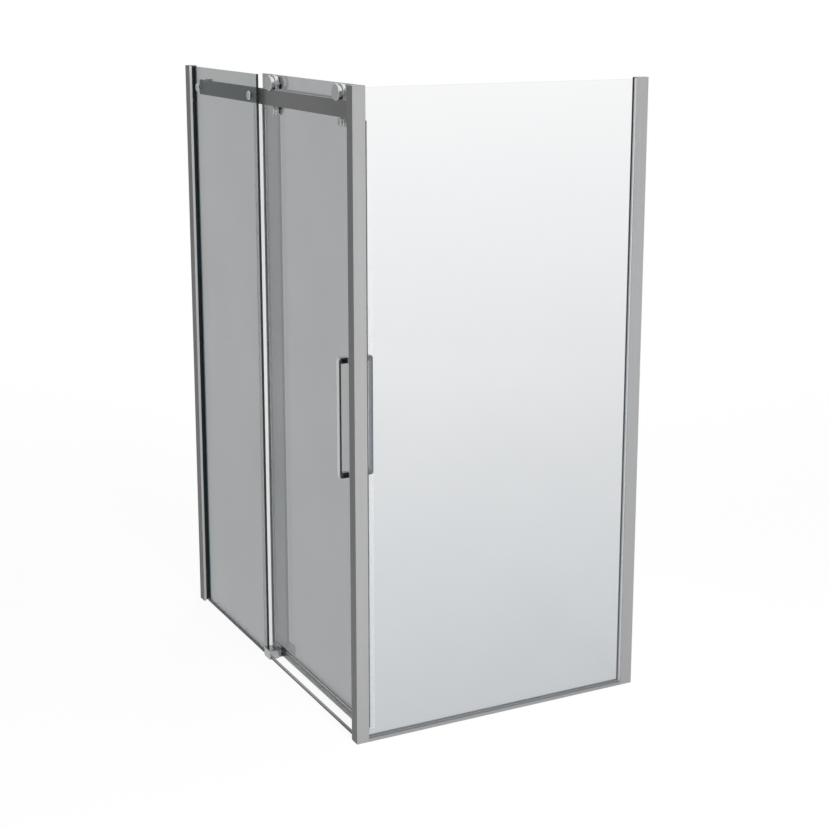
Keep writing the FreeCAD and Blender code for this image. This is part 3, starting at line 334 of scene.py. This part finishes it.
def floor_line_finishes():
    """The threshold, with a painted highlight on top, the guide, and the door's seals with dark lines painted
    on.
    """
    return {
        "threshold_strip": finish_of(
            "threshold_metal", (0.08, 0.081, 0.083), 0.10, (0.2, 0.3), 0.12, ALONG_X,
            # Painted highlight: the threshold's faces looking up or down are near white.
            others=[(looking("Z", SLOPE_LIMIT), (0.92, 0.922, 0.926), None)]),
        "guide_block": chrome("guide_metal", (0.40, 0.403, 0.407), 0.9, (0.18, 0.28)),
        "door_rear_seal": clear_seal(
            "rear_seal", others=[(within("Y", *REAR_SEAL_LIP), (0.09, 0.092, 0.094), 0.80)]),
        "door_bottom_seal": clear_seal(
            "bottom_seal", grain=ALONG_X,
            others=[
                (within("Z", *BOTTOM_SEAL_RIM), DARK_LINE, 0.75),
                (within("Z", *BOTTOM_SEAL_WIPER), DARK_LINE, 0.60),
            ]),
    }


def fitting_finishes():
    """The handles, with painted shade on their sides, and the gaskets behind the roller discs."""
    handle = finish_of(
        "handle_chrome", (0.56, 0.564, 0.568), 0.75, (0.06, 0.11), 0.5, ALONG_Z, bump=0.04,
        # Painted shade: the sides of the handles, looking along X, are near black.
        others=[(looking("X"), (0.08, 0.082, 0.084), None)])
    disc_gasket = finish_of(
        "roller_gasket", (0.04, 0.04, 0.042), 0.0, (0.5, 0.65), 0.3, EVENLY, bump=0.3)
    return {
        "handle_outer": handle,
        "handle_inner": handle,
        "handle_ferrules": handle,
        "handle_collars": chrome("handle_collars", (0.85, 0.855, 0.86), 0.6, (0.2, 0.3)),
        "roller_gaskets": disc_gasket,
        "anti_lift_gaskets": disc_gasket,
    }


# ---- Studio ----


def seen_directly(tree):
    """1 for rays that look at the background: from the camera, a reflection or through clear glass."""
    path = tree.nodes.new("ShaderNodeLightPath").outputs
    mirrored = maths(tree, "MAXIMUM", path["Is Glossy Ray"], path["Is Transmission Ray"])
    return maths(tree, "MAXIMUM", path["Is Camera Ray"], mirrored)


def floor_material():
    """Grey paper that looks white, and shows a part of the object's shadow close to it."""
    material, tree, surface = new_material("studio_floor")
    place = put(tree, "ShaderNodeTexCoord").outputs["Object"]
    away = put(tree, "ShaderNodeVectorMath", Vector=place)
    away.operation = "LENGTH"
    near_by = spread(tree, away.outputs["Value"], 1.0, 0.0, SHADOW_FULL, SHADOW_GONE)
    seen = seen_directly(tree)
    # Seen directly, the paper shows only a share of its own light and shadow. The rest is white.
    hidden = less(tree, maths(tree, "MULTIPLY", near_by, SHADOW_SHARE))
    own = less(tree, maths(tree, "MULTIPLY", seen, hidden))
    paper = between(tree, noise(tree, FLOOR_MOTTLE), *FLOOR_GREYS)
    matt = put(tree, "ShaderNodeBsdfDiffuse", Color=between(tree, own, BLACK, paper))
    lift = less(tree, maths(tree, "MULTIPLY", near_by, SHADOW_SHARE * FLOOR_LEVEL))
    white = put(tree, "ShaderNodeEmission", Color=(*WHITE, 1.0), Strength=maths(tree, "MULTIPLY", seen, lift))
    added = put(tree, "ShaderNodeAddShader")
    tree.links.new(matt.outputs[0], added.inputs[0])
    tree.links.new(white.outputs[0], added.inputs[1])
    tree.links.new(added.outputs[0], surface)
    return material


def lay_floor():
    """A square sheet just below the object."""
    half = FLOOR_HALF
    sheet = bpy.data.meshes.new("studio_floor")
    corners = [(-half, -half, 0), (half, -half, 0), (half, half, 0), (-half, half, 0)]
    sheet.from_pydata(corners, [], [(0, 1, 2, 3)])
    sheet.materials.append(floor_material())
    floor = bpy.data.objects.new("studio_floor", sheet)
    bpy.context.scene.collection.objects.link(floor)
    floor.location.z = -FLOOR_BELOW


def set_world():
    """A plain world, white where it is seen directly."""
    world = bpy.data.worlds.new("studio")
    bpy.context.scene.world = world
    world.use_nodes = True
    tree = world.node_tree
    tree.nodes.clear()
    strength = spread(tree, seen_directly(tree), WORLD_LEVEL, 1.0, 0.0, 1.0)
    sky = put(tree, "ShaderNodeBackground", Color=(*WHITE, 1.0), Strength=strength)
    end = tree.nodes.new("ShaderNodeOutputWorld")
    tree.links.new(sky.outputs[0], end.inputs["Surface"])


def hang_lamp(name, at, aim, size, power):
    """A soft square lamp that faces a point and leaves no image of itself in the panes."""
    light = bpy.data.lights.new(name, "AREA")
    light.shape = "SQUARE"
    light.size = size
    light.energy = power
    made = bpy.data.objects.new(name, light)
    made.location = at
    made.rotation_mode = "QUATERNION"
    made.rotation_quaternion = (Vector(aim) - Vector(at)).to_track_quat("-Z", "Y")
    made.visible_camera = False
    made.visible_glossy = False
    bpy.context.scene.collection.objects.link(made)


def set_camera():
    """The photograph's camera."""
    eye = bpy.data.cameras.new("camera")
    eye.sensor_width = CAMERA_SENSOR
    eye.lens = CAMERA_LENS
    eye.shift_y = CAMERA_SHIFT
    eye.clip_end = CAMERA_END
    camera = bpy.data.objects.new("camera", eye)
    bpy.context.scene.collection.objects.link(camera)
    azimuth, pitch = math.radians(CAMERA_AZIMUTH), math.radians(CAMERA_PITCH)
    ahead = Vector((
        -math.sin(azimuth) * math.cos(pitch),
        math.cos(azimuth) * math.cos(pitch),
        -math.sin(pitch),
    ))
    camera.location = CAMERA_AT
    camera.rotation_mode = "QUATERNION"
    camera.rotation_quaternion = ahead.to_track_quat("-Z", "Y")
    bpy.context.scene.camera = camera


# ---- Scene ----

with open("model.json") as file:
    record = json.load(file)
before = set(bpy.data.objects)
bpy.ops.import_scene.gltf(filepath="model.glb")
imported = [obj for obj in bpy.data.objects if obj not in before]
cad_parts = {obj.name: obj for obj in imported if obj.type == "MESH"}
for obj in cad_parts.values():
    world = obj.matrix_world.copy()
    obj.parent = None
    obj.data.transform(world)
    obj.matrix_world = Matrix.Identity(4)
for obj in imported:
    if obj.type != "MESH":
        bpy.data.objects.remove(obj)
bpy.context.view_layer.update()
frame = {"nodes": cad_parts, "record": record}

slot_of = {row["node"]: row["material_slot"] for row in frame["record"]["subparts"]}
finishes = slot_finishes()
own_finish = {
    **upright_finishes(),
    **pane_finishes(),
    **floor_line_finishes(),
    **fitting_finishes(),
}
for node, piece in frame["nodes"].items():
    piece.data.materials.clear()
    piece.data.materials.append(own_finish.get(node) or finishes[slot_of[node]])

lay_floor()
set_world()
for lamp in LAMPS:
    hang_lamp(*lamp)
set_camera()
bpy.context.scene.view_settings.view_transform = "Standard"
